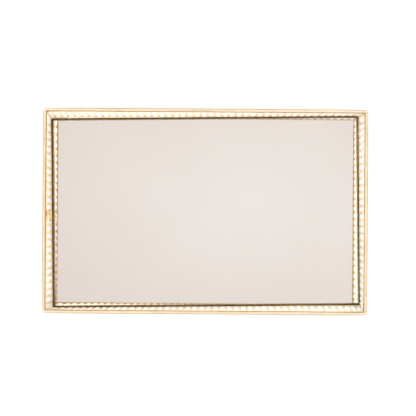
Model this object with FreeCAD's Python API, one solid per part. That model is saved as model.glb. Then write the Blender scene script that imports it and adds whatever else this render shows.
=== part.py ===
import FreeCAD, Part

import math
import os

# Rectangular vanity tray: a ribbed gallery wall between two bent wire loops, round a mirror floor.
# Millimetres. The origin is on the table under the middle of the rim, with +X along the long side
# and +Z up. The mirror, the pan and the base wire are square to the axes. The rim wire is soldered
# on a little askew and off their middle, so the gallery leans by a different amount along each side.

# Stack of layers, from the table up
FOOT_PAD_HEIGHT = 1.6
PAN_THICKNESS = 0.8
TAPE_THICKNESS = 0.9
SILVERING_THICKNESS = 0.1
GLASS_THICKNESS = 3.0

# The two wire loops, measured on the centre line of the wire
BASE_WIRE_RADIUS = 1.7
RIM_WIRE_RADIUS = 1.9
LOOP_CORNER_RADIUS = 2.4
BASE_HALF_LENGTH = 168.9
BASE_HALF_WIDTH = 104.5
BASE_MIDDLE = (0.3, -0.5)
RIM_HALF_LENGTH = 168.7
RIM_HALF_WIDTH = 105.9
RIM_ABOVE_GLASS = 18.5
RIM_TURN_DEGREES = -0.9

# Gallery strip: a thin web with upright half-round ribs rolled on both faces. A groove lies in each
# corner, and the ribs next to it lean with the corner over a short length of the wall.
WEB_HALF_THICKNESS = 0.3
GROOVE_HALF_THICKNESS = 0.35
RIB_CREST = 1.7
RIB_END_GAP = 0.2
WEB_IN_WIRE = 0.9
LEANING_LENGTH = 25.0

# Rib pitch on the front, right, back and left sides, and how far past the middle of its side,
# going round anticlockwise, one rib stands
RIB_PITCHES = [7.50, 7.43, 7.54, 7.62]
RIB_MIDDLES = [2.4, 1.1, 0.5, 1.5]

# The joint between the two ends of the strip, on the left side, and its patches
SEAM_AT_Y = -3.0
SEAM_GAP = 0.3
PATCH_LENGTH = 12.0
PATCH_REACH = 1.6
PATCH_END_GAP = 0.8

# Mirror plate
GLASS_HALF_LENGTH = 165.4
GLASS_HALF_WIDTH = 101.3
GLASS_CORNER_RADIUS = 1.0
GLASS_ARRIS = 0.3
SILVERING_INSET = 0.5
MIRROR_MIDDLE = (0.8, -0.5)

# Pan, tape and feet
PAN_INSET = 1.0
TAPE_LENGTH = 300.0
TAPE_WIDTH = 14.0
TAPE_SPACING = 50.0
FOOT_PAD_RADIUS = 6.0
FOOT_PAD_AT_X = 145.0
FOOT_PAD_AT_Y = 82.0

# Heights that follow from the stack
PAN_TOP = FOOT_PAD_HEIGHT + PAN_THICKNESS
SILVERING_BOTTOM = PAN_TOP + TAPE_THICKNESS
GLASS_BOTTOM = SILVERING_BOTTOM + SILVERING_THICKNESS
GLASS_TOP = GLASS_BOTTOM + GLASS_THICKNESS
BASE_WIRE_Z = FOOT_PAD_HEIGHT + BASE_WIRE_RADIUS
RIM_WIRE_Z = GLASS_TOP + RIM_ABOVE_GLASS
RIB_FOOT_Z = BASE_WIRE_Z + BASE_WIRE_RADIUS + RIB_END_GAP
RIB_TOP_Z = RIM_WIRE_Z - RIM_WIRE_RADIUS - RIB_END_GAP
SEAM_CUT_LENGTH = 10.0

QUARTER_TURN = math.pi / 2


def straight_and_corner_lengths():
    """Lengths of the eight stretches of the base loop: front, corner, right, corner, back, corner, left, corner."""
    along = 2 * (BASE_HALF_LENGTH - LOOP_CORNER_RADIUS)
    across = 2 * (BASE_HALF_WIDTH - LOOP_CORNER_RADIUS)
    corner = LOOP_CORNER_RADIUS * QUARTER_TURN
    return [along, corner, across, corner, along, corner, across, corner]


def loop_point(half_length, half_width, stretch, share, inward):
    """A point on a rounded rectangle, at a share of one stretch of it, moved inward by a distance."""
    radius = LOOP_CORNER_RADIUS
    x = half_length - radius
    y = half_width - radius
    side = stretch // 2
    heading = side * QUARTER_TURN
    ends = [(-x, -half_width, x, -half_width), (half_length, -y, half_length, y)]
    ends += [(x, half_width, -x, half_width), (-half_length, y, -half_length, -y)]
    if stretch % 2 == 0:
        x0, y0, x1, y1 = ends[side]
        px = x0 + (x1 - x0) * share
        py = y0 + (y1 - y0) * share
        return px - math.sin(heading) * inward, py + math.cos(heading) * inward
    centre_x, centre_y = [(x, -y), (x, y), (-x, y), (-x, -y)][side]
    angle = heading - QUARTER_TURN + QUARTER_TURN * share
    reach = radius - inward
    return centre_x + reach * math.cos(angle), centre_y + reach * math.sin(angle)


def wall_point(station, inward, z):
    """A point of the gallery at height z: on the line from the base loop to the turned rim loop."""
    stretch, share = station
    foot_x, foot_y = loop_point(BASE_HALF_LENGTH, BASE_HALF_WIDTH, stretch, share, inward)
    foot_x += BASE_MIDDLE[0]
    foot_y += BASE_MIDDLE[1]
    rim_x, rim_y = loop_point(RIM_HALF_LENGTH, RIM_HALF_WIDTH, stretch, share, inward)
    turn = math.radians(RIM_TURN_DEGREES)
    head_x = rim_x * math.cos(turn) - rim_y * math.sin(turn)
    head_y = rim_x * math.sin(turn) + rim_y * math.cos(turn)
    rise = (z - BASE_WIRE_Z) / (RIM_WIRE_Z - BASE_WIRE_Z)
    return FreeCAD.Vector(foot_x + (head_x - foot_x) * rise, foot_y + (head_y - foot_y) * rise, z)


def station_at(distance):
    """The stretch and the share of it that lie a distance along the base loop from its start."""
    lengths = straight_and_corner_lengths()
    distance = distance % sum(lengths)
    for stretch, length in enumerate(lengths):
        if distance < length:
            return stretch, distance / length
        distance -= length
    return 0, 0.0


def upright_shift(distance):
    """How far forward along the loop a rib's top is set, so that it stands over its foot under the turned rim."""
    stretch, share = station_at(distance)
    if stretch % 2 == 1:
        return 0.0
    reach = (RIM_HALF_WIDTH, RIM_HALF_LENGTH)[stretch // 2 % 2]
    from_corner = min(share, 1 - share) * straight_and_corner_lengths()[stretch]
    return -math.radians(RIM_TURN_DEGREES) * reach * min(1.0, from_corner / LEANING_LENGTH)


def rib_point(distance, inward, z):
    """A point of a rib or groove at height z, by the place of its foot along the base loop."""
    rise = (z - BASE_WIRE_Z) / (RIM_WIRE_Z - BASE_WIRE_Z)
    return wall_point(station_at(distance + upright_shift(distance) * rise), inward, z)


def plain_outline(inward, z):
    """The smooth outline of the gallery at a height: four straight sides and four corner arcs."""
    edges = []
    for stretch in range(8):
        start = wall_point((stretch, 0.0), inward, z)
        end = wall_point((stretch, 1.0), inward, z)
        if stretch % 2 == 0:
            edges.append(Part.makeLine(start, end))
        else:
            middle = wall_point((stretch, 0.5), inward, z)
            edges.append(Part.Arc(start, middle, end).toShape())
    return Part.Wire(edges)


def rib_marks():
    """Distances along the base loop of all the grooves: one in the middle of each corner, evenly pitched
    ones along the sides, and what is left before and after each corner shared out evenly."""
    lengths = straight_and_corner_lengths()
    marks = []
    for side, (pitch, middle) in enumerate(zip(RIB_PITCHES, RIB_MIDDLES)):
        start = sum(lengths[: 2 * side])
        end = start + lengths[2 * side]
        first = start + lengths[2 * side] / 2 + middle + pitch / 2
        first -= math.floor((first - start) / pitch - 0.5) * pitch
        last = first + int((end - first) / pitch - 0.5) * pitch
        corner_before = start - lengths[1] / 2
        corner_after = end + lengths[1] / 2
        marks += even_marks(corner_before, first, pitch)
        marks += even_marks(first, last, pitch)
        marks += even_marks(last, corner_after, pitch)
    return marks + [marks[0] + sum(lengths)]


def even_marks(start, end, pitch):
    """Evenly spaced distances from start up to end, without end, about a pitch apart."""
    count = max(1, round((end - start) / pitch))
    return [start + (end - start) * k / count for k in range(count)]


def ribbed_outline(direction, z):
    """The outline of one ribbed face at a height. Direction is 1 for the inner face, -1 for the outer."""
    marks = rib_marks()
    groove = direction * GROOVE_HALF_THICKNESS
    edges = []
    for start, end in zip(marks, marks[1:]):
        first = rib_point(start, groove, z)
        crest = rib_point((start + end) / 2, direction * RIB_CREST, z)
        last = rib_point(end, groove, z)
        edges.append(Part.Arc(first, crest, last).toShape())
    return Part.Wire(edges)


def ring_between(outline, low, high):
    """A wall between its outer and inner outlines, from one height to another."""
    outer = Part.makeLoft([outline(-1, low), outline(-1, high)], True, True)
    inner = Part.makeLoft([outline(1, low), outline(1, high)], True, True)
    return outer.cut(inner)


def web_outline(direction, z):
    return plain_outline(direction * WEB_HALF_THICKNESS, z)


def wire_loop(z, radius):
    """A round wire bent into the loop that the gallery has at height z."""
    start = wall_point((0, 0.0), 0.0, z)
    along = wall_point((0, 1.0), 0.0, z) - start
    profile = Part.Wire([Part.makeCircle(radius, start, along)])
    return plain_outline(0.0, z).makePipeShell([profile], True, False)


def seam_box(length, reach, low, high):
    """A block centred on the joint in the left side, reaching as far in and out of the wall."""
    corner = FreeCAD.Vector(BASE_MIDDLE[0] - BASE_HALF_LENGTH - reach, SEAM_AT_Y - length / 2, low)
    return Part.makeBox(2 * reach, length, high - low, corner)


def ribbed_zone():
    """All the space between the feet and the tops of the ribs, but for the plain stretch at the joint."""
    half_length = BASE_HALF_LENGTH + SEAM_CUT_LENGTH
    half_width = BASE_HALF_WIDTH + SEAM_CUT_LENGTH
    corner = FreeCAD.Vector(-half_length, -half_width, RIB_FOOT_Z)
    block = Part.makeBox(2 * half_length, 2 * half_width, RIB_TOP_Z - RIB_FOOT_Z, corner)
    return block.cut(seam_box(PATCH_LENGTH, SEAM_CUT_LENGTH, 0.0, RIM_WIRE_Z))


def gallery_strip(wires):
    """One length of ribbed strip, its ends meeting in the left side, its edges fitted to both wires."""
    ribs = ring_between(ribbed_outline, RIB_FOOT_Z, RIB_TOP_Z)
    ribs = ribs.cut(seam_box(PATCH_LENGTH, SEAM_CUT_LENGTH, 0.0, RIM_WIRE_Z))
    low = BASE_WIRE_Z + BASE_WIRE_RADIUS - WEB_IN_WIRE
    high = RIM_WIRE_Z - RIM_WIRE_RADIUS + WEB_IN_WIRE
    web = ring_between(web_outline, low, high).cut(wires).cut(ribbed_zone())
    slit = seam_box(SEAM_GAP, SEAM_CUT_LENGTH, 0.0, RIM_WIRE_Z)
    return web.fuse(ribs).cut(slit)


def seam_patches(strip):
    """The inner and outer patches soldered over the joint."""
    low = RIB_FOOT_Z + PATCH_END_GAP
    high = RIB_TOP_Z - PATCH_END_GAP
    block = seam_box(PATCH_LENGTH, PATCH_REACH, low, high)
    middle = seam_box(PATCH_LENGTH, WEB_HALF_THICKNESS, low, high)
    pieces = block.cut(middle).cut(strip).Solids
    pieces.sort(key=lambda solid: solid.CenterOfMass.x)
    return pieces[-1], pieces[0]


def rounded_plate(half_length, half_width, radius, bottom, thickness):
    """A flat rectangular plate with rounded corners."""
    corner = FreeCAD.Vector(-half_length, -half_width, bottom)
    plate = Part.makeBox(2 * half_length, 2 * half_width, thickness, corner)
    upright = [e for e in plate.Edges if abs(e.BoundBox.ZLength - thickness) < 1e-6]
    return plate.makeFillet(radius, upright)


def moved_to(plate, middle):
    return plate.translated(FreeCAD.Vector(middle[0], middle[1], 0.0))


def mirror_glass():
    """The glass, with its sharp upper and lower edges ground off."""
    plate = rounded_plate(GLASS_HALF_LENGTH, GLASS_HALF_WIDTH, GLASS_CORNER_RADIUS, GLASS_BOTTOM, GLASS_THICKNESS)
    rims = [e for e in plate.Edges if e.BoundBox.ZLength < 1e-6]
    return moved_to(plate.makeChamfer(GLASS_ARRIS, rims), MIRROR_MIDDLE)


def mirror_silvering():
    """The reflecting film on the back of the glass."""
    half_length = GLASS_HALF_LENGTH - SILVERING_INSET
    half_width = GLASS_HALF_WIDTH - SILVERING_INSET
    film = rounded_plate(half_length, half_width, GLASS_CORNER_RADIUS, SILVERING_BOTTOM, SILVERING_THICKNESS)
    return moved_to(film, MIRROR_MIDDLE)


def base_pan(base_wire):
    """The sheet-metal floor, its edge soldered to the underside of the base wire."""
    half_length = BASE_HALF_LENGTH - PAN_INSET
    half_width = BASE_HALF_WIDTH - PAN_INSET
    radius = LOOP_CORNER_RADIUS - PAN_INSET
    plate = rounded_plate(half_length, half_width, radius, FOOT_PAD_HEIGHT, PAN_THICKNESS)
    return moved_to(plate, BASE_MIDDLE).cut(base_wire)


def tape_strip(index):
    """One of the four strips of foam tape between the pan and the mirror, counted from the front."""
    y = (index - 1.5) * TAPE_SPACING
    corner = FreeCAD.Vector(-TAPE_LENGTH / 2, y - TAPE_WIDTH / 2, PAN_TOP)
    return Part.makeBox(TAPE_LENGTH, TAPE_WIDTH, TAPE_THICKNESS, corner)


def foot_pad(x, y):
    return Part.makeCylinder(FOOT_PAD_RADIUS, FOOT_PAD_HEIGHT, FreeCAD.Vector(x, y, 0.0))


def all_nodes():
    base_wire = wire_loop(BASE_WIRE_Z, BASE_WIRE_RADIUS)
    rim_wire = wire_loop(RIM_WIRE_Z, RIM_WIRE_RADIUS)
    strip = gallery_strip([base_wire, rim_wire])
    inner_patch, outer_patch = seam_patches(strip)
    nodes = {
        "rim_wire": rim_wire,
        "base_wire": base_wire,
        "gallery_strip": strip,
        "seam_patch_inner": inner_patch,
        "seam_patch_outer": outer_patch,
        "base_pan": base_pan(base_wire),
        "mirror_silvering": mirror_silvering(),
        "mirror_glass": mirror_glass(),
    }
    for index in range(4):
        nodes[f"mirror_tape_{index + 1}"] = tape_strip(index)
    for row, y in (("front", -FOOT_PAD_AT_Y), ("back", FOOT_PAD_AT_Y)):
        for side, x in (("left", -FOOT_PAD_AT_X), ("right", FOOT_PAD_AT_X)):
            nodes[f"foot_pad_{row}_{side}"] = foot_pad(x, y)
    return nodes


os.makedirs("parts", exist_ok=True)
for name, shape in all_nodes().items():
    shape.exportStep(f"parts/{name}.step")
    print(name, shape.isValid(), len(shape.Solids), round(shape.Volume, 1))
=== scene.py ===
import math

import bmesh
import bpy
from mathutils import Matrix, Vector, noise


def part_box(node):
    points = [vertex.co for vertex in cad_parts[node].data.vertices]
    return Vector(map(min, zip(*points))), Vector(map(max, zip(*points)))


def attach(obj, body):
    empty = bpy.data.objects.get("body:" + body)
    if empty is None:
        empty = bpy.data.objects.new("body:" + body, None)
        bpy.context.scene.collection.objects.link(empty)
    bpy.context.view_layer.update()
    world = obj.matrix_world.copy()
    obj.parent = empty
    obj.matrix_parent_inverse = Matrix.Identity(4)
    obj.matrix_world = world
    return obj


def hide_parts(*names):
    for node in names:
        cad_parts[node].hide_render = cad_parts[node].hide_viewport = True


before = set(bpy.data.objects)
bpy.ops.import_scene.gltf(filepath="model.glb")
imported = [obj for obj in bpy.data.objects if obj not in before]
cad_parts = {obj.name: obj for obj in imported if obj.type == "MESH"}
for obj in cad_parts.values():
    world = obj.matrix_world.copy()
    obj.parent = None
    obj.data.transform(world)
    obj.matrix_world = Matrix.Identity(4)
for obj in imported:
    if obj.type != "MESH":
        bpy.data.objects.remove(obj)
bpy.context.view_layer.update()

# Everything is in metres, in the frame of the CAD model.
MM = 0.001
QUARTER_TURN = math.pi / 2

# Wire loops. What isn't here is read off the boxes of the nodes.
LOOP_CORNER_RADIUS = 2.4 * MM
RIM_TURN = math.radians(-0.9)
WIRE_SWAY = 0.10 * MM
WIRE_SWAYS_PER_METRE = 22.0
WIRE_LUMP = 0.03 * MM
WIRE_LUMPS_PER_METRE = 160.0
RIM_WELD_BEAD = 0.22 * MM
FOOT_WELD_BEAD = 0.1 * MM
WELD_REACH = 2.2 * MM
WELD_LUMP_SHARE = 0.8
WELD_LUMPS_PER_METRE = 700.0
# Painted shade on the rim's upper inner side, where it meets the wall: its reach round the joint, and its
# share far from the joint
PAINTED_SHADE_REACH = 110.0 * MM
PAINTED_SHADE_FAR_FROM_JOINT = 0.3

# Ribbed gallery. The lists go round its sides: front, right, back, left.
RIB_PITCHES = [7.50 * MM, 7.43 * MM, 7.54 * MM, 7.62 * MM]
RIB_MIDDLES = [2.4 * MM, 1.1 * MM, 0.5 * MM, 1.5 * MM]
LEANING_LENGTH = 25.0 * MM
WEB_HALF_THICKNESS = 0.3 * MM
RIB_CREST = 1.7 * MM
RIB_END_GAP = 0.2 * MM
RIB_TOP_DOME = 1.8 * MM
RIB_FOOT_DOME = 0.6 * MM
FILLET_HEIGHT = 0.7 * MM
FILLET_FLARE = 0.55 * MM
WEB_IN_WIRE = 0.9 * MM
WALL_SWAY = 0.12 * MM
WALL_SWAYS_PER_METRE = 30.0
RIB_UNEVENNESS = 0.05
PLAIN_INTO_SEAM = 0.5 * MM
PLAIN_PAST_SEAM = 0.4 * MM
# Painted shade on the wall against the wires: its reach from the foot and from the rim, and the tone it falls
# to at the foot
PAINTED_SHADE_AT_FOOT = 1.6 * MM
PAINTED_SHADE_AT_RIM = 1.5 * MM
FOOT_TONE = 0.5
# Tone in the grooves between the ribs: painted shade
GROOVE_TONE = 0.38

# Solder patches over the joint
PATCH_ROUNDING = 0.9 * MM
PATCH_EDGE_SHARE = 0.12
PATCH_CROWN_SHARE = 0.58
PATCH_LUMP_SHARE = 0.42
PATCH_LUMPS_PER_METRE_ALONG = 330.0
PATCH_LUMPS_PER_METRE_UP = 260.0
PATCH_RAGGEDNESS = 0.35 * MM
PATCH_RAGS_PER_METRE = 500.0
PATCH_SUNK = 0.05 * MM

# Mirror glass and foot pads
GLASS_CORNER = 1.0 * MM
GLASS_ARRIS = 0.3 * MM
SILVER_CONTACT = 0.02 * MM
PAD_EDGE = 0.55 * MM
PAD_TAPER = 0.2 * MM
PAD_FLAT_SHARE = 0.6
PAD_LIFT = 0.04 * MM

# Fineness of the meshes
WIRE_SIDES = 40
STEPS_PER_STRAIGHT = 72
STEPS_PER_CORNER = 18
STEPS_PER_RIB = 14
DOME_ROWS = 6
SHAFT_ROWS = 8
PATCH_STEPS_ALONG = 26
PATCH_STEPS_UP = 40
GLASS_CORNER_STEPS = 8
GLASS_ARRIS_STEPS = 4
PAD_SIDES = 48
PAD_EDGE_STEPS = 8

# Studio light, by height on a dome of directions: 1 is straight up, 0 is the horizon
CEILING_MIDDLE = (1.022, 1.050, 1.168)
CEILING_EDGE = (0.886, 0.870, 0.949)
CEILING_SPOT_MIDDLE = (0.09, 0.02)
CEILING_SPOT_REACH = (0.55, 0.32)
CEILING_EDGE_Z = 0.935
RING_INNER_Z = 0.85
RING_OUTER_Z = 0.66
WALL_TOP_Z = 0.56
RING_LIGHT = 4.1
WALL_LIGHT = 1.0

# Floor
FLOOR_SIDES = 96
FLOOR_REACH = 4.0

# Camera: looks straight down on the mirror
CAMERA_ABOVE_GLASS = 537.0 * MM
SEEN_WIDTH_AT_GLASS = 452.32 * MM
SENSOR_WIDTH = 36.0
CAMERA_ROLL = math.radians(-0.49)
CAMERA_OFFSET = Vector((3.1 * MM, 3.65 * MM))


def box_size(node):
    low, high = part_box(node)
    return high - low


def box_middle(node):
    low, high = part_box(node)
    return (low + high) / 2


def half_sizes_of_turned_loop(node, turn):
    """Half length and half width of a rounded loop, worked out from the box that it fills when turned."""
    size = box_size(node)
    rounding = LOOP_CORNER_RADIUS + size.z / 2
    reach_x = size.x / 2 - rounding
    reach_y = size.y / 2 - rounding
    cos, sin = math.cos(turn), abs(math.sin(turn))
    spread = cos * cos - sin * sin
    inner_x = (reach_x * cos - reach_y * sin) / spread
    inner_y = (reach_y * cos - reach_x * sin) / spread
    return inner_x + LOOP_CORNER_RADIUS, inner_y + LOOP_CORNER_RADIUS


BASE_RADIUS = box_size("base_wire").z / 2
RIM_RADIUS = box_size("rim_wire").z / 2
BASE_MIDDLE = box_middle("base_wire")
BASE_WIRE_Z = BASE_MIDDLE.z
RIM_WIRE_Z = box_middle("rim_wire").z
BASE_HALVES = half_sizes_of_turned_loop("base_wire", 0.0)
RIM_HALVES = half_sizes_of_turned_loop("rim_wire", RIM_TURN)
GLASS_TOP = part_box("mirror_glass")[1].z
RIB_FOOT_Z = BASE_WIRE_Z + BASE_RADIUS + RIB_END_GAP
RIB_TOP_Z = RIM_WIRE_Z - RIM_RADIUS - RIB_END_GAP
SEAM_LOW, SEAM_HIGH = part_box("seam_patch_inner")
SEAM_Y = (SEAM_LOW.y + SEAM_HIGH.y) / 2
SEAM_HALF_LENGTH = (SEAM_HIGH.y - SEAM_LOW.y) / 2


# ---------------------------------------------------------------- the loop of the wires and the gallery

def stretch_lengths():
    """Lengths of the base loop's stretches: front, corner, right, corner, back, corner, left, corner."""
    along = 2 * (BASE_HALVES[0] - LOOP_CORNER_RADIUS)
    across = 2 * (BASE_HALVES[1] - LOOP_CORNER_RADIUS)
    corner = LOOP_CORNER_RADIUS * QUARTER_TURN
    return [along, corner, across, corner, along, corner, across, corner]


STRETCHES = stretch_lengths()
LOOP_LENGTH = sum(STRETCHES)


def loop_point(halves, stretch, share, inward):
    """A point on a rounded rectangle, at a share of one stretch of it, moved inward by a distance."""
    half_length, half_width = halves
    x = half_length - LOOP_CORNER_RADIUS
    y = half_width - LOOP_CORNER_RADIUS
    side = stretch // 2
    heading = side * QUARTER_TURN
    if stretch % 2 == 0:
        ends = [(-x, -half_width, x, -half_width), (half_length, -y, half_length, y)]
        ends += [(x, half_width, -x, half_width), (-half_length, y, -half_length, -y)]
        x0, y0, x1, y1 = ends[side]
        px = x0 + (x1 - x0) * share
        py = y0 + (y1 - y0) * share
        return px - math.sin(heading) * inward, py + math.cos(heading) * inward
    centre_x, centre_y = [(x, -y), (x, y), (-x, y), (-x, -y)][side]
    angle = heading - QUARTER_TURN + QUARTER_TURN * share
    reach = LOOP_CORNER_RADIUS - inward
    return centre_x + reach * math.cos(angle), centre_y + reach * math.sin(angle)


def station_at(distance):
    """The stretch and the share of it that lie a distance along the base loop from its start."""
    distance = distance % LOOP_LENGTH
    for stretch, length in enumerate(STRETCHES):
        if distance < length:
            return stretch, distance / length
        distance -= length
    return 0, 0.0


def wall_point(station, inward, z):
    """A point of the gallery at height z: on the line from the base loop to the turned rim loop."""
    stretch, share = station
    foot_x, foot_y = loop_point(BASE_HALVES, stretch, share, inward)
    rim_x, rim_y = loop_point(RIM_HALVES, stretch, share, inward)
    head_x = rim_x * math.cos(RIM_TURN) - rim_y * math.sin(RIM_TURN)
    head_y = rim_x * math.sin(RIM_TURN) + rim_y * math.cos(RIM_TURN)
    rise = (z - BASE_WIRE_Z) / (RIM_WIRE_Z - BASE_WIRE_Z)
    foot_x += BASE_MIDDLE.x
    foot_y += BASE_MIDDLE.y
    return Vector((foot_x + (head_x - foot_x) * rise, foot_y + (head_y - foot_y) * rise, z))


def upright_shift(distance):
    """How far forward along the loop a rib's top is set, so that it stands over its foot though the rim is
    turned. Near the corners it fades away, and the ribs lean."""
    stretch, share = station_at(distance)
    if stretch % 2 == 1:
        return 0.0
    reach = RIM_HALVES[1 - stretch // 2 % 2]
    from_corner = min(share, 1 - share) * STRETCHES[stretch]
    return -RIM_TURN * reach * min(1.0, from_corner / LEANING_LENGTH)


def rib_marks():
    """Distances along the base loop of all the grooves. One lies in the middle of each corner. The ones along
    a side are evenly pitched, and the first and last of them lie between half a pitch and one and a half from
    its ends. What is left up to the middle of each corner is shared out evenly."""
    marks = []
    for side, (pitch, middle) in enumerate(zip(RIB_PITCHES, RIB_MIDDLES)):
        start = sum(STRETCHES[: 2 * side])
        end = start + STRETCHES[2 * side]
        first = start + STRETCHES[2 * side] / 2 + middle + pitch / 2
        first -= math.floor((first - start) / pitch - 0.5) * pitch
        last = first + int((end - first) / pitch - 0.5) * pitch
        corner_before = start - STRETCHES[1] / 2
        corner_after = end + STRETCHES[1] / 2
        marks += even_marks(corner_before, first, pitch)
        marks += even_marks(first, last, pitch)
        marks += even_marks(last, corner_after, pitch)
    return marks + [marks[0] + LOOP_LENGTH]


def even_marks(start, end, pitch):
    """Evenly spaced distances from start up to end, without end, about a pitch apart."""
    count = max(1, round((end - start) / pitch))
    return [start + (end - start) * k / count for k in range(count)]


# ---------------------------------------------------------------- mesh helpers

def smooth_step(low, high, value):
    t = min(1.0, max(0.0, (value - low) / (high - low)))
    return t * t * (3 - 2 * t)


def add_attribute(mesh, name, values):
    """One number for each point of a mesh, for its material to read."""
    attribute = mesh.attributes.new(name, "FLOAT", "POINT")
    attribute.data.foreach_set("value", values)


def face_outward(mesh):
    """Winds all the faces of a closed mesh the same way, so that they point out of it."""
    shell = bmesh.new()
    shell.from_mesh(mesh)
    bmesh.ops.recalc_face_normals(shell, faces=shell.faces)
    shell.to_mesh(mesh)
    shell.free()


def make_mesh(name, points, faces, tones=None, flat_ends=0):
    """A smooth-shaded mesh object, whose last flat_ends faces are flat. Tones, one for each point, go to an
    attribute that its material reads."""
    mesh = bpy.data.meshes.new(name)
    mesh.from_pydata(points, [], faces)
    mesh.validate()
    face_outward(mesh)
    smooth = len(faces) - flat_ends
    mesh.polygons.foreach_set("use_smooth", [True] * smooth + [False] * flat_ends)
    if tones:
        add_attribute(mesh, "tone", tones)
    mesh.update()
    piece = bpy.data.objects.new(name, mesh)
    bpy.context.scene.collection.objects.link(piece)
    return piece


def grid_faces(rows, columns, wrap_rows, wrap_columns):
    """Quads of a grid whose points are listed row by row."""
    faces = []
    for i in range(rows if wrap_rows else rows - 1):
        for j in range(columns if wrap_columns else columns - 1):
            i2 = (i + 1) % rows
            j2 = (j + 1) % columns
            faces.append((i * columns + j, i2 * columns + j, i2 * columns + j2, i * columns + j2))
    return faces


def finish_piece(piece, material, node):
    """Gives a piece its material and its body, and hides the CAD node that it stands for."""
    piece.data.materials.append(material)
    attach(piece, "root")
    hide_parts(node)


def dress_node(node, material):
    """Gives a CAD node that stays in view its procedural material."""
    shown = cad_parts[node]
    shown.data.materials.clear()
    shown.data.materials.append(material)


# ---------------------------------------------------------------- pieces

def loop_stations():
    """Stations all round the loop, close together in the corners."""
    stations = []
    for stretch in range(8):
        steps = STEPS_PER_STRAIGHT if stretch % 2 == 0 else STEPS_PER_CORNER
        stations += [(stretch, k / steps) for k in range(steps)]
    return stations


def painted_shade_weight(point):
    """How strongly the gold is darkened by painted shade: most near the joint, less further round the loop.
    """
    from_joint = Vector((point.x + BASE_HALVES[0], point.y - SEAM_Y)).length
    fading = math.exp(-((from_joint / PAINTED_SHADE_REACH) ** 2))
    return PAINTED_SHADE_FAR_FROM_JOINT + (1 - PAINTED_SHADE_FAR_FROM_JOINT) * fading


def wire_loop(name, z, wire_radius, bead, painted_shade):
    """A bent wire: a round section carried round the loop, a touch uneven, with a weld bead at the joint.
    Its tone is 1, and by the given weight it falls on the upper inner side: painted shade where the rim meets
    the wall, deepest round the joint."""
    stations = loop_stations()
    points, tones = [], []
    for station in stations:
        centre = wall_point(station, 0.0, z)
        inward = (wall_point(station, wire_radius, z) - centre).normalized()
        # Each wire is at its own height, and the shift with z takes it to its own stretch of the noise.
        sway_place = centre * WIRE_SWAYS_PER_METRE + Vector((0.0, 0.0, z * 900.0))
        sway = noise.noise(sway_place) * WIRE_SWAY
        near_weld = math.exp(-(((centre.y - SEAM_Y) / WELD_REACH) ** 2)) if centre.x < 0 else 0.0
        for k in range(WIRE_SIDES):
            angle = 2 * math.pi * k / WIRE_SIDES
            out = inward * math.cos(angle) + Vector((0.0, 0.0, math.sin(angle)))
            skin = centre + out * wire_radius
            radius = wire_radius - WIRE_LUMP
            radius += noise.noise(skin * WIRE_LUMPS_PER_METRE) * WIRE_LUMP
            radius += near_weld * bead * (1 + WELD_LUMP_SHARE * noise.noise(skin * WELD_LUMPS_PER_METRE))
            points.append(centre + inward * sway + out * radius)
            # Painted shade: the tone falls on the upper inner side of the wire
            inner_side = smooth_step(-0.1, 0.8, math.cos(angle))
            upper_side = smooth_step(-0.5, 0.2, math.sin(angle))
            tones.append(1 - painted_shade * painted_shade_weight(centre) * inner_side * upper_side)
    return make_mesh(name, points, grid_faces(len(stations), WIRE_SIDES, True, True), tones)


def rib_rise(across, up, width):
    """How far a rib stands out of the web, from 0 to 1: a half-round bar with a dome at each end."""
    height = RIB_TOP_Z - RIB_FOOT_Z
    half = width / 2
    over_end = max(0.0, (RIB_FOOT_DOME - up) / RIB_FOOT_DOME, (up - height + RIB_TOP_DOME) / RIB_TOP_DOME)
    off_middle = abs(across) / half
    squared = off_middle * off_middle + over_end * over_end
    if squared >= 1.0:
        return 0.0
    depth = RIB_CREST - WEB_HALF_THICKNESS
    arc_radius = (half * half + depth * depth) / (2 * depth)
    return (math.sqrt(arc_radius ** 2 - squared * half * half) - (arc_radius - depth)) / depth


def gallery_rows():
    """Heights of the rows of the gallery's mesh: the fillets, the domes and the shafts of the ribs."""
    low = BASE_WIRE_Z + BASE_RADIUS - WEB_IN_WIRE
    high = RIM_WIRE_Z - RIM_RADIUS + WEB_IN_WIRE
    rows = [low, low + FILLET_HEIGHT, RIB_FOOT_Z]
    steps = [1 - math.cos(QUARTER_TURN * k / DOME_ROWS) for k in range(1, DOME_ROWS + 1)]
    rows += [RIB_FOOT_Z + RIB_FOOT_DOME * step for step in steps]
    shaft_low, shaft_high = RIB_FOOT_Z + RIB_FOOT_DOME, RIB_TOP_Z - RIB_TOP_DOME
    rows += [shaft_low + (shaft_high - shaft_low) * k / SHAFT_ROWS for k in range(1, SHAFT_ROWS)]
    rows += [RIB_TOP_Z - RIB_TOP_DOME * step for step in reversed(steps)]
    return rows + [RIB_TOP_Z, high - FILLET_HEIGHT, high]


def seam_flattening(station, z):
    """1 on the plain stretch round the joint in the left side, 0 elsewhere."""
    point = wall_point(station, 0.0, z)
    if point.x > 0:
        return 0.0
    fade_from, fade_to = SEAM_HALF_LENGTH - PLAIN_INTO_SEAM, SEAM_HALF_LENGTH + PLAIN_PAST_SEAM
    return 1 - smooth_step(fade_from, fade_to, abs(point.y - SEAM_Y))


def gallery_columns():
    """The columns of the gallery's mesh: for each, its rib's number, its own distance along the base loop,
    and the middle and the width of its rib."""
    marks = rib_marks()
    columns = []
    for rib, (start, end) in enumerate(zip(marks, marks[1:])):
        width = end - start
        for k in range(STEPS_PER_RIB):
            columns.append((rib, start + width * k / STEPS_PER_RIB, (start + end) / 2, width))
    return columns


def rib_depth(rib, face):
    """How far a rib's crest stands out of the web, a little different from rib to rib."""
    unevenness = RIB_UNEVENNESS * noise.noise(Vector((rib * 3.7, 0.0, face)))
    return (RIB_CREST - WEB_HALF_THICKNESS) * (1 + unevenness)


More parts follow.
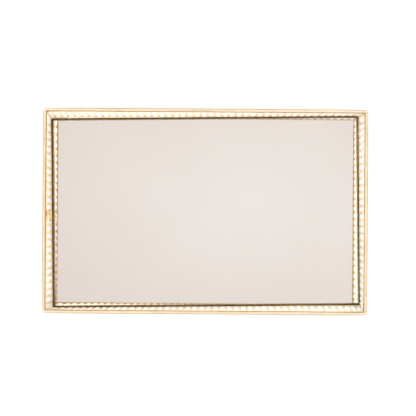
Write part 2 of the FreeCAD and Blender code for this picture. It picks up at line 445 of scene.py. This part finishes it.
def free_of_painted_shade(from_foot, from_rim):
    """1 on the height of the wall that has no painted shade. Against the wires it falls, as painted shade, to
    FOOT_TONE at the foot and to 0 at the rim."""
    foot = smooth_step(WEB_IN_WIRE, WEB_IN_WIRE + PAINTED_SHADE_AT_FOOT, from_foot)
    rim = smooth_step(WEB_IN_WIRE, WEB_IN_WIRE + PAINTED_SHADE_AT_RIM, from_rim)
    return (FOOT_TONE + (1 - FOOT_TONE) * foot) * rim


def gallery():
    """The ribbed strip, both faces, closed along its edges inside the wires. Its tone carries painted light:
    1 on the crests of the ribs, for painted highlights, GROOVE_TONE in the grooves between them and less
    against the wires, for painted shade."""
    rows = gallery_rows()
    columns = gallery_columns()
    points, tones, outside = [], [], []
    for face in (1, -1):
        for z in rows if face == 1 else reversed(rows):
            from_foot, from_rim = z - rows[0], rows[-1] - z
            fillet = smooth_step(0.0, WEB_IN_WIRE + FILLET_HEIGHT, min(from_foot, from_rim))
            flare = FILLET_FLARE * (1 - fillet)
            # Painted shade against the wires
            unshaded = free_of_painted_shade(from_foot, from_rim)
            height_share = (z - BASE_WIRE_Z) / (RIM_WIRE_Z - BASE_WIRE_Z)
            for rib, distance, middle, width in columns:
                station = station_at(distance + upright_shift(distance) * height_share)
                rise = rib_rise(distance - middle, z - RIB_FOOT_Z, width) * (1 - seam_flattening(station, z))
                sway = noise.noise(wall_point(station, 0.0, z) * WALL_SWAYS_PER_METRE) * WALL_SWAY
                inward = sway + face * (WEB_HALF_THICKNESS + rib_depth(rib, face) * rise + flare)
                points.append(wall_point(station, inward, z))
                # The tone is painted light: high on the crests for painted highlights, low in the grooves and
                # against the wires for painted shade
                tones.append((GROOVE_TONE + (1 - GROOVE_TONE) * rise) * unshaded)
                outside.append(0.0 if face == 1 else 1.0)
    faces = grid_faces(2 * len(rows), len(columns), True, True)
    piece = make_mesh("gallery", points, faces, tones)
    add_attribute(piece.data, "outside", outside)
    return piece


def patch_relief(low, high, face, y, z):
    """How far a solder patch stands out at a place, as a share of its thickness, and how far its ragged edge
    is off in height there."""
    to_edge = min(y - low.y, high.y - y, z - low.z, high.z - z)
    crown = math.sqrt(max(0.0, 1 - (1 - min(1.0, to_edge / PATCH_ROUNDING)) ** 2))
    lump_place = Vector((face * 9.0, y * PATCH_LUMPS_PER_METRE_ALONG, z * PATCH_LUMPS_PER_METRE_UP))
    lump = noise.fractal(lump_place, 1.0, 2.0, 3)
    rag_place = Vector((face * 5.0, y * PATCH_RAGS_PER_METRE, z * PATCH_RAGS_PER_METRE))
    rag = noise.noise(rag_place) * PATCH_RAGGEDNESS * (1 - crown)
    return PATCH_EDGE_SHARE + crown * (PATCH_CROWN_SHARE + PATCH_LUMP_SHARE * lump), rag


def border(rows, columns):
    """The points round the edge of a grid that is listed row by row, in order."""
    ring = list(range(columns))
    ring += [i * columns + columns - 1 for i in range(1, rows)]
    ring += [(rows - 1) * columns + j for j in range(columns - 2, -1, -1)]
    ring += [i * columns for i in range(rows - 2, 0, -1)]
    return ring


def seam_patch(name, node, face):
    """A lumpy solder patch over the joint. Face is 1 on the inside of the wall and -1 on the outside."""
    low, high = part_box(node)
    wall_x = low.x if face == 1 else high.x
    rows, columns = PATCH_STEPS_UP + 1, PATCH_STEPS_ALONG + 1
    front, back = [], []
    for i in range(rows):
        for j in range(columns):
            y = low.y + (high.y - low.y) * j / PATCH_STEPS_ALONG
            z = low.z + (high.z - low.z) * i / PATCH_STEPS_UP
            out, rag = patch_relief(low, high, face, y, z)
            front.append(Vector((wall_x + face * out * (high.x - low.x), y, z + rag)))
            back.append(Vector((wall_x - face * PATCH_SUNK, y, z + rag)))
    front_faces = grid_faces(rows, columns, False, False)
    behind = len(front)
    faces = front_faces + [tuple(index + behind for index in quad) for quad in front_faces]
    edge = border(rows, columns)
    for first, second in zip(edge, edge[1:] + edge[:1]):
        faces.append((first, first + behind, second + behind, second))
    piece = make_mesh(name, front + back, faces)
    add_attribute(piece.data, "outside", [0.0 if face == 1 else 1.0] * len(front + back))
    return piece


def rounded_ring(centre, half_length, half_width, radius, z):
    """Points of a rounded rectangle at a height."""
    ring = []
    for side in range(4):
        corner_x = (half_length - radius) * (1 if side in (0, 1) else -1)
        corner_y = (half_width - radius) * (1 if side in (1, 2) else -1)
        for k in range(GLASS_CORNER_STEPS + 1):
            angle = QUARTER_TURN * (side - 1 + k / GLASS_CORNER_STEPS)
            x = centre.x + corner_x + radius * math.cos(angle)
            y = centre.y + corner_y + radius * math.sin(angle)
            ring.append(Vector((x, y, z)))
    return ring


def glass_plate():
    """The mirror's glass, with softly ground edges. Its underside reaches a hair into the silver film."""
    low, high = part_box("mirror_glass")
    centre = (low + high) / 2
    half_length = (high.x - low.x) / 2
    half_width = (high.y - low.y) / 2
    bottom = low.z - SILVER_CONTACT
    turns = [QUARTER_TURN * k / GLASS_ARRIS_STEPS for k in range(GLASS_ARRIS_STEPS + 1)]
    arris = [(GLASS_ARRIS * (1 - math.sin(turn)), GLASS_ARRIS * (1 - math.cos(turn))) for turn in turns]
    rings = [(inset, bottom + rise) for inset, rise in arris]
    rings += [(inset, high.z - rise) for inset, rise in reversed(arris)]
    points = []
    for inset, z in rings:
        points += rounded_ring(centre, half_length - inset, half_width - inset, GLASS_CORNER - inset, z)
    count = len(points) // len(rings)
    faces = grid_faces(len(rings), count, False, True)
    faces.append(tuple(range(count - 1, -1, -1)))
    faces.append(tuple(range(len(points) - count, len(points))))
    return make_mesh("glass_plate", points, faces, flat_ends=2)


def foot_pad(name, node):
    """A soft disc with a rounded edge, turned from a short profile."""
    low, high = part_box(node)
    centre = (low + high) / 2
    radius = (high.x - low.x) / 2
    height = high.z - low.z
    flat = radius * PAD_FLAT_SHARE
    profile = [(0.0, height), (flat, height), (radius - PAD_TAPER, height)]
    for k in range(PAD_EDGE_STEPS + 1):
        angle = -QUARTER_TURN * k / PAD_EDGE_STEPS
        reach = radius - PAD_EDGE + PAD_EDGE * math.cos(angle)
        profile.append((reach, PAD_EDGE + PAD_EDGE * math.sin(angle)))
    profile += [(flat, PAD_LIFT), (0.0, PAD_LIFT)]
    points = []
    for reach, z in profile:
        for k in range(PAD_SIDES):
            angle = 2 * math.pi * k / PAD_SIDES
            x = centre.x + reach * math.cos(angle)
            y = centre.y + reach * math.sin(angle)
            points.append(Vector((x, y, low.z + z)))
    piece = make_mesh(name, points, grid_faces(len(profile), PAD_SIDES, False, True))
    weld = piece.modifiers.new("weld", "WELD")
    weld.merge_threshold = 0.01 * MM
    return piece


# ---------------------------------------------------------------- materials

def new_material(name):
    material = bpy.data.materials.new(name)
    material.use_nodes = True
    nodes = material.node_tree.nodes
    return material, nodes, material.node_tree.links, nodes["Principled BSDF"]


def noise_node(nodes, links, scale, detail, stretch=(1.0, 1.0, 1.0)):
    """Noise in the object's own coordinates, in features per metre."""
    place = nodes.new("ShaderNodeTexCoord")
    mapping = nodes.new("ShaderNodeMapping")
    mapping.inputs["Scale"].default_value = stretch
    texture = nodes.new("ShaderNodeTexNoise")
    texture.inputs["Scale"].default_value = scale
    texture.inputs["Detail"].default_value = detail
    links.new(place.outputs["Object"], mapping.inputs["Vector"])
    links.new(mapping.outputs["Vector"], texture.inputs["Vector"])
    return texture.outputs["Fac"]


def attribute_node(nodes, name):
    attribute = nodes.new("ShaderNodeAttribute")
    attribute.attribute_name = name
    return attribute.outputs["Fac"]


def ramp(nodes, links, source, stops):
    """A colour ramp fed by a value. Its stops are pairs of a place and a colour."""
    node = nodes.new("ShaderNodeValToRGB")
    elements = node.color_ramp.elements
    while len(elements) < len(stops):
        elements.new(0.5)
    for element, (place, colour) in zip(elements, stops):
        element.position = place
        element.color = (*colour, 1.0)
    links.new(source, node.inputs["Fac"])
    return node.outputs["Color"]


def grey(value):
    return (value, value, value)


def mix_colours(nodes, links, factor, first, second, blend="MIX"):
    node = nodes.new("ShaderNodeMix")
    node.data_type = "RGBA"
    node.blend_type = blend
    for socket, value in (("Factor", factor), ("A", first), ("B", second)):
        target = next(s for s in node.inputs if s.name == socket and s.enabled)
        if isinstance(value, (int, float)):
            target.default_value = value
        elif isinstance(value, tuple):
            target.default_value = (*value, 1.0)
        else:
            links.new(value, target)
    return next(s for s in node.outputs if s.enabled)


def add_bump(nodes, links, shader, height, distance, strength):
    bump = nodes.new("ShaderNodeBump")
    bump.inputs["Strength"].default_value = strength
    bump.inputs["Distance"].default_value = distance
    links.new(height, bump.inputs["Height"])
    links.new(bump.outputs["Normal"], shader.inputs["Normal"])


def gold_wire_material(name, deep, pale):
    """Polished gold plate on drawn wire: slight tone shifts, fine scratches, and deeper gold painted as shade
    on the upper inner side of the rim, where it meets the wall."""
    material, nodes, links, shader = new_material(name)
    cloud = noise_node(nodes, links, 60.0, 3.0)
    unshaded = ramp(nodes, links, cloud, [(0.3, deep), (0.7, pale)])
    tone = attribute_node(nodes, "tone")
    # Painted shade: a low tone darkens the gold to this deeper colour
    tint = ramp(nodes, links, tone, [(0.0, (0.90, 0.68, 0.39)), (1.0, grey(1.0))])
    links.new(mix_colours(nodes, links, 1.0, unshaded, tint, "MULTIPLY"), shader.inputs["Base Color"])
    shader.inputs["Metallic"].default_value = 1.0
    shader.inputs["Specular Tint"].default_value = (0.5, 0.42, 0.3, 1.0)
    fine = noise_node(nodes, links, 900.0, 4.0)
    links.new(ramp(nodes, links, fine, [(0.3, grey(0.30)), (0.7, grey(0.42))]), shader.inputs["Roughness"])
    add_bump(nodes, links, shader, fine, 0.02 * MM, 0.4)
    return material


def gold_gallery_material():
    """Gold plate, with painted light: the crests lighter as painted highlights, tan in the grooves between
    the ribs and brown against the wires as painted shade. The inner face is painted pale and bright, as
    painted light. The outer face keeps the full gold."""
    material, nodes, links, shader = new_material("gold_gallery")
    tone = attribute_node(nodes, "tone")
    outside = attribute_node(nodes, "outside")
    # Inner face: painted light. Its near-white crests are painted highlights, its tan grooves and brown feet
    # painted shade
    inner = ramp(nodes, links, tone, [
        (0.0, (0.52, 0.27, 0.10)), (0.3, (0.94, 0.77, 0.52)), (0.68, (0.98, 0.88, 0.70)),
        (0.88, (1.0, 0.97, 0.91)), (1.0, (1.0, 0.99, 0.96))])
    # Outer face: lighter crests as painted highlights, darker grooves and feet as painted shade
    outer = ramp(nodes, links, tone, [
        (0.0, (0.26, 0.13, 0.05)), (GROOVE_TONE, (0.40, 0.24, 0.09)),
        (0.7, (0.60, 0.42, 0.19)), (1.0, (0.72, 0.53, 0.27))])
    cloud = noise_node(nodes, links, 140.0, 3.0)
    shade = ramp(nodes, links, cloud, [(0.25, grey(0.94)), (0.75, grey(1.0))])
    colour = mix_colours(nodes, links, outside, inner, outer)
    links.new(mix_colours(nodes, links, 1.0, colour, shade, "MULTIPLY"), shader.inputs["Base Color"])
    metal = ramp(nodes, links, tone, [(0.3, grey(0.6)), (1.0, grey(0.3))])
    links.new(mix_colours(nodes, links, outside, metal, grey(0.9)), shader.inputs["Metallic"])
    fine = noise_node(nodes, links, 1200.0, 4.0)
    satin = ramp(nodes, links, fine, [(0.3, grey(0.44)), (0.7, grey(0.56))])
    polish = ramp(nodes, links, fine, [(0.3, grey(0.33)), (0.7, grey(0.37))])
    links.new(mix_colours(nodes, links, outside, satin, polish), shader.inputs["Roughness"])
    add_bump(nodes, links, shader, fine, 0.004 * MM, 0.4)
    return material


def solder_material():
    """Gold-toned solder: mottled and lumpy, its near-white blotches painted highlights; pale inside the wall
    as painted light, and fuller gold outside.
    """
    material, nodes, links, shader = new_material("solder_patch")
    blotch = noise_node(nodes, links, 330.0, 2.0)
    # Mottle from dark brown to near white. The near-white blotches are painted highlights
    colour = ramp(nodes, links, blotch, [
        (0.35, (0.32, 0.16, 0.05)), (0.45, (0.72, 0.47, 0.20)),
        (0.54, (0.98, 0.83, 0.57)), (0.63, (1.0, 0.97, 0.91))])
    # Painted light: the inside of the wall is kept pale, the outside goes to full gold
    side = ramp(nodes, links, attribute_node(nodes, "outside"), [(0.0, grey(1.0)), (1.0, (0.74, 0.55, 0.29))])
    links.new(mix_colours(nodes, links, 1.0, colour, side, "MULTIPLY"), shader.inputs["Base Color"])
    shader.inputs["Metallic"].default_value = 0.5
    fine = noise_node(nodes, links, 1500.0, 3.0)
    links.new(ramp(nodes, links, blotch, [(0.3, grey(0.5)), (0.7, grey(0.28))]), shader.inputs["Roughness"])
    add_bump(nodes, links, shader, fine, 0.05 * MM, 0.5)
    return material


def silvering_material():
    """The silver film: a warm champagne mirror, faintly uneven."""
    material, nodes, links, shader = new_material("silvering")
    cloud = noise_node(nodes, links, 9.0, 2.0)
    colour = ramp(nodes, links, cloud, [(0.3, (0.85, 0.77, 0.65)), (0.7, (0.87, 0.79, 0.67))])
    links.new(colour, shader.inputs["Base Color"])
    shader.inputs["Metallic"].default_value = 1.0
    fine = noise_node(nodes, links, 30.0, 2.0)
    links.new(ramp(nodes, links, fine, [(0.3, grey(0.004)), (0.7, grey(0.012))]), shader.inputs["Roughness"])
    return material


def glass_material():
    """Clear float glass. Its faces are spotless. Its ground edges are rough and carry a gold tint: a painted
    reflection of the gold round them.
    """
    material, nodes, links, shader = new_material("mirror_glass")
    geometry = nodes.new("ShaderNodeNewGeometry")
    split = nodes.new("ShaderNodeSeparateXYZ")
    links.new(geometry.outputs["True Normal"], split.inputs["Vector"])
    upright = nodes.new("ShaderNodeMath")
    upright.operation = "ABSOLUTE"
    links.new(split.outputs["Z"], upright.inputs[0])
    smear = noise_node(nodes, links, 45.0, 3.0)
    faces = ramp(nodes, links, smear, [(0.35, grey(0.0)), (0.75, grey(0.006))])
    edge = ramp(nodes, links, upright.outputs["Value"], [(0.90, grey(0.45)), (0.98, grey(0.0))])
    links.new(mix_colours(nodes, links, 1.0, faces, edge, "ADD"), shader.inputs["Roughness"])
    # Painted reflection: the ground edges are tinted with the gold round them
    tint = ramp(nodes, links, upright.outputs["Value"], [
        (0.90, (0.66, 0.46, 0.25)), (0.98, (0.985, 0.99, 0.985))])
    links.new(tint, shader.inputs["Base Color"])
    shader.inputs["Transmission Weight"].default_value = 1.0
    shader.inputs["IOR"].default_value = 1.5
    return material


def pan_material():
    """Satin bronze lacquer over rolled sheet steel, with the faint grain of the sheet. Its colour is darkened
    to near black: painted shade for the gap round the glass.
    """
    material, nodes, links, shader = new_material("pan_steel")
    grain = noise_node(nodes, links, 260.0, 4.0, (0.12, 1.0, 1.0))
    # Painted shade: near-black so that the gap round the glass reads dark
    colour = ramp(nodes, links, grain, [(0.3, (0.15, 0.088, 0.04)), (0.7, (0.21, 0.13, 0.065))])
    links.new(colour, shader.inputs["Base Color"])
    shader.inputs["Metallic"].default_value = 0.9
    links.new(ramp(nodes, links, grain, [(0.3, grey(0.38)), (0.7, grey(0.52))]), shader.inputs["Roughness"])
    add_bump(nodes, links, shader, grain, 0.02 * MM, 0.4)
    return material


def foam_material():
    """White closed-cell foam tape."""
    material, nodes, links, shader = new_material("foam_tape")
    cells = noise_node(nodes, links, 2500.0, 2.0)
    colour = ramp(nodes, links, cells, [(0.3, (0.66, 0.65, 0.61)), (0.7, (0.82, 0.81, 0.78))])
    links.new(colour, shader.inputs["Base Color"])
    shader.inputs["Roughness"].default_value = 0.85
    add_bump(nodes, links, shader, cells, 0.05 * MM, 0.6)
    return material


def pad_material():
    """Soft milky rubber, faintly speckled."""
    material, nodes, links, shader = new_material("pad_rubber")
    speckle = noise_node(nodes, links, 1800.0, 3.0)
    colour = ramp(nodes, links, speckle, [(0.3, (0.60, 0.59, 0.56)), (0.7, (0.74, 0.73, 0.70))])
    links.new(colour, shader.inputs["Base Color"])
    shader.inputs["Roughness"].default_value = 0.6
    shader.inputs["Subsurface Weight"].default_value = 0.2
    shader.inputs["Subsurface Scale"].default_value = 1.0 * MM
    add_bump(nodes, links, shader, speckle, 0.03 * MM, 0.4)
    return material


def floor_material():
    """Plain pale table top."""
    material, nodes, links, shader = new_material("pale_floor")
    mottle = noise_node(nodes, links, 5.0, 3.0)
    links.new(ramp(nodes, links, mottle, [(0.3, grey(0.61)), (0.7, grey(0.63))]), shader.inputs["Base Color"])
    shader.inputs["Roughness"].default_value = 0.9
    shader.inputs["Specular IOR Level"].default_value = 0.1
    return material


# ---------------------------------------------------------------- building the object

# Rim and foot wire share one gold plate. The foot wire's paler copy is painted light, as it lies in the
# shaded gap under the ribs
rim_gold = gold_wire_material("gold_wire", (0.445, 0.362, 0.25), (0.505, 0.42, 0.302))
foot_gold = gold_wire_material("gold_foot_wire", (0.66, 0.48, 0.24), (0.74, 0.56, 0.30))
rim = wire_loop("rim", RIM_WIRE_Z, RIM_RADIUS, RIM_WELD_BEAD, 1.0)
finish_piece(rim, rim_gold, "rim_wire")
foot_rail = wire_loop("foot_rail", BASE_WIRE_Z, BASE_RADIUS, FOOT_WELD_BEAD, 0.0)
finish_piece(foot_rail, foot_gold, "base_wire")
finish_piece(gallery(), gold_gallery_material(), "gallery_strip")

solder = solder_material()
finish_piece(seam_patch("seam_inside", "seam_patch_inner", 1), solder, "seam_patch_inner")
finish_piece(seam_patch("seam_outside", "seam_patch_outer", -1), solder, "seam_patch_outer")

pad_rubber = pad_material()
for place in ("front_left", "front_right", "back_left", "back_right"):
    node = f"foot_pad_{place}"
    finish_piece(foot_pad(f"pad_{place}", node), pad_rubber, node)

finish_piece(glass_plate(), glass_material(), "mirror_glass")
dress_node("mirror_silvering", silvering_material())
dress_node("base_pan", pan_material())
foam = foam_material()
for number in range(1, 5):
    dress_node(f"mirror_tape_{number}", foam)


# ---------------------------------------------------------------- stage, light and camera

def floor():
    """A wide round floor under the tray."""
    points = [Vector((0.0, 0.0, 0.0))]
    for k in range(FLOOR_SIDES):
        angle = 2 * math.pi * k / FLOOR_SIDES
        points.append(Vector((FLOOR_REACH * math.cos(angle), FLOOR_REACH * math.sin(angle), 0.0)))
    faces = [(0, 1 + k, 1 + (k + 1) % FLOOR_SIDES) for k in range(FLOOR_SIDES)]
    plane = make_mesh("floor", points, faces)
    plane.data.materials.append(floor_material())


def studio_dome():
    """A soft studio: a calm ceiling with a slightly brighter middle, a broad bright ring of light round it,
    and walls as calm as the ceiling."""
    world = bpy.data.worlds.new("studio_dome")
    world.use_nodes = True
    nodes, links = world.node_tree.nodes, world.node_tree.links
    place = nodes.new("ShaderNodeTexCoord")
    mapping = nodes.new("ShaderNodeMapping")
    middle_x, middle_y = CEILING_SPOT_MIDDLE
    reach_x, reach_y = CEILING_SPOT_REACH
    mapping.inputs["Scale"].default_value = (1 / reach_x, 1 / reach_y, 0.0)
    mapping.inputs["Location"].default_value = (-middle_x / reach_x, -middle_y / reach_y, 0.0)
    spot = nodes.new("ShaderNodeTexGradient")
    spot.gradient_type = "SPHERICAL"
    links.new(place.outputs["Generated"], mapping.inputs["Vector"])
    links.new(mapping.outputs["Vector"], spot.inputs["Vector"])
    ceiling = ramp(nodes, links, spot.outputs["Fac"], [(0.0, CEILING_EDGE), (1.0, CEILING_MIDDLE)])
    split = nodes.new("ShaderNodeSeparateXYZ")
    links.new(place.outputs["Generated"], split.inputs["Vector"])
    height = split.outputs["Z"]
    above = ramp(nodes, links, height, [(RING_INNER_Z, grey(0.0)), (CEILING_EDGE_Z, grey(1.0))])
    colour = mix_colours(nodes, links, above, grey(1.0), ceiling)
    wall, ceiling_light = grey(WALL_LIGHT / RING_LIGHT), grey(1 / RING_LIGHT)
    strength = ramp(nodes, links, height, [
        (0.0, wall), (WALL_TOP_Z, wall), (RING_OUTER_Z, grey(1.0)),
        (RING_INNER_Z, grey(1.0)), (CEILING_EDGE_Z, ceiling_light), (1.0, ceiling_light)])
    times = nodes.new("ShaderNodeMath")
    times.operation = "MULTIPLY"
    times.inputs[1].default_value = RING_LIGHT
    links.new(strength, times.inputs[0])
    background = nodes["Background"]
    links.new(colour, background.inputs["Color"])
    links.new(times.outputs["Value"], background.inputs["Strength"])
    bpy.context.scene.world = world


def camera():
    """The camera over the tray, with a lens that gives the mirror its size in the picture."""
    data = bpy.data.cameras.new("camera")
    data.sensor_width = SENSOR_WIDTH
    data.lens = SENSOR_WIDTH * CAMERA_ABOVE_GLASS / SEEN_WIDTH_AT_GLASS
    data.clip_start = 0.01
    holder = bpy.data.objects.new("camera", data)
    holder.location = (CAMERA_OFFSET.x, CAMERA_OFFSET.y, GLASS_TOP + CAMERA_ABOVE_GLASS)
    holder.rotation_euler = (0.0, 0.0, CAMERA_ROLL)
    bpy.context.scene.collection.objects.link(holder)
    bpy.context.scene.camera = holder


floor()
studio_dome()
camera()
bpy.context.scene.view_settings.view_transform = "Standard"
